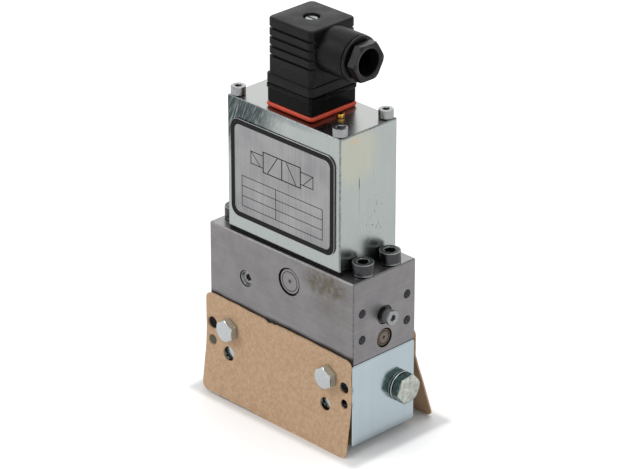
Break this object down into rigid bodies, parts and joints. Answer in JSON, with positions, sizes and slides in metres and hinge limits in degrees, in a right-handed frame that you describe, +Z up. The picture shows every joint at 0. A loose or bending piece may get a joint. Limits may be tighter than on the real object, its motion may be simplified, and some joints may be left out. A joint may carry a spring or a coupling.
{
  "type": "solenoid directional valve",
  "caption": "Block-built solenoid valve: ported lower block, steel valve body, twin-coil housing with a square plug connector, and kraft cards bolted over the port faces.",
  "frame": {"origin": "centre of the port block's bottom face", "axes": "+X along the wide side to the end with the hexagon plug, +Y to the rear, +Z up to the plug connector"},
  "size_m": [0.1054, 0.0594, 0.1966],
  "materials": {
    "zinc_plate": "bright zinc-plated and brushed steel",
    "ground_steel": "ground, burnished steel",
    "blue_zinc": "blue-passivated zinc plate",
    "dark_steel": "dark oiled steel",
    "bright_steel": "bright plated steel",
    "black_plastic": "matt black glass-filled polyamide",
    "gloss_plastic": "glossier black polyamide",
    "black_rubber": "black nitrile rubber",
    "orange_rubber": "orange-red silicone",
    "brass": "turned brass",
    "kraft_card": "brown kraft fibreboard",
    "plate_metal": "brushed aluminium with a black border",
    "coil_resin": "moulded coil resin over copper wire"
  },
  "bodies": {
    "valve": {"port_block": "blue_zinc", "valve_body": "ground_steel", "solenoid_seal": "black_rubber", "solenoid_housing": "zinc_plate", "nameplate": "plate_metal", "earth_screw": "brass", "connector_gasket": "orange_rubber", "connector_insert": "gloss_plastic", "connector_hood": "black_plastic", "contact_base": "black_plastic", "connector_screw": "bright_steel", "gland_nut": "black_plastic", "gland_seal": "black_rubber", "gland_washer": "bright_steel", "front_socket_plug": "bright_steel", "front_core_plug": "dark_steel", "gallery_plug": "dark_steel", "port_plug": "blue_zinc", "port_washer": "bright_steel", "front_card": "kraft_card", "rear_card": "kraft_card", "housing_screw_1": "bright_steel", "body_screw_1": "dark_steel", "housing_screw_2": "bright_steel", "body_screw_2": "dark_steel", "housing_screw_3": "bright_steel", "body_screw_3": "dark_steel", "housing_screw_4": "bright_steel", "body_screw_4": "dark_steel", "coil_left": "coil_resin", "armature_tube_left": "bright_steel", "pole_piece_left": "dark_steel", "lever_pin_left": "bright_steel", "return_spring_left": "bright_steel", "seat_sleeve_left": "brass", "guide_bush_left": "dark_steel", "card_bolt_left": "bright_steel", "card_nut_left": "bright_steel", "coil_right": "coil_resin", "armature_tube_right": "bright_steel", "pole_piece_right": "dark_steel", "lever_pin_right": "bright_steel", "return_spring_right": "bright_steel", "seat_sleeve_right": "brass", "guide_bush_right": "dark_steel", "card_bolt_right": "bright_steel", "card_nut_right": "bright_steel"},
    "tappet_left": {"tappet_left": "bright_steel", "poppet_left": "bright_steel", "override_screw_left": "bright_steel"},
    "lever_left": {"lever_left": "bright_steel"},
    "armature_left": {"armature_left": "dark_steel", "push_pin_left": "bright_steel"},
    "tappet_right": {"tappet_right": "bright_steel", "poppet_right": "bright_steel", "override_screw_right": "bright_steel"},
    "lever_right": {"lever_right": "bright_steel"},
    "armature_right": {"armature_right": "dark_steel", "push_pin_right": "bright_steel"}
  },
  "joints": [
    {"name": "override_slide_left", "type": "slide", "parent": "valve", "child": "tappet_left", "axis": [1, 0, 0], "range_m": [0, 0.0012], "stiffness_N_per_m": 2000, "springref_m": -0.005, "deforming": ["return_spring_left"]},
    {"name": "lever_turn_left", "type": "hinge", "parent": "valve", "child": "lever_left", "pos_m": [-0.008, 0, 0.0713], "axis": [0, -1, 0], "range_deg": [0, 6.6]},
    {"name": "armature_slide_left", "type": "slide", "parent": "valve", "child": "armature_left", "axis": [0, 0, -1], "range_m": [0, 0.00111]},
    {"name": "override_slide_right", "type": "slide", "parent": "valve", "child": "tappet_right", "axis": [-1, 0, 0], "range_m": [0, 0.0012], "stiffness_N_per_m": 2000, "springref_m": -0.005, "deforming": ["return_spring_right"]},
    {"name": "lever_turn_right", "type": "hinge", "parent": "valve", "child": "lever_right", "pos_m": [0.008, 0, 0.0713], "axis": [0, 1, 0], "range_deg": [0, 6.6]},
    {"name": "armature_slide_right", "type": "slide", "parent": "valve", "child": "armature_right", "axis": [0, 0, -1], "range_m": [0, 0.00111]}
  ],
  "couplings": [
    {"joint": "lever_turn_left", "follows": "override_slide_left", "rad_per_m": 95.238},
    {"joint": "armature_slide_left", "follows": "override_slide_left", "ratio": 0.90476},
    {"joint": "lever_turn_right", "follows": "override_slide_right", "rad_per_m": 95.238},
    {"joint": "armature_slide_right", "follows": "override_slide_right", "ratio": 0.90476}
  ]
}
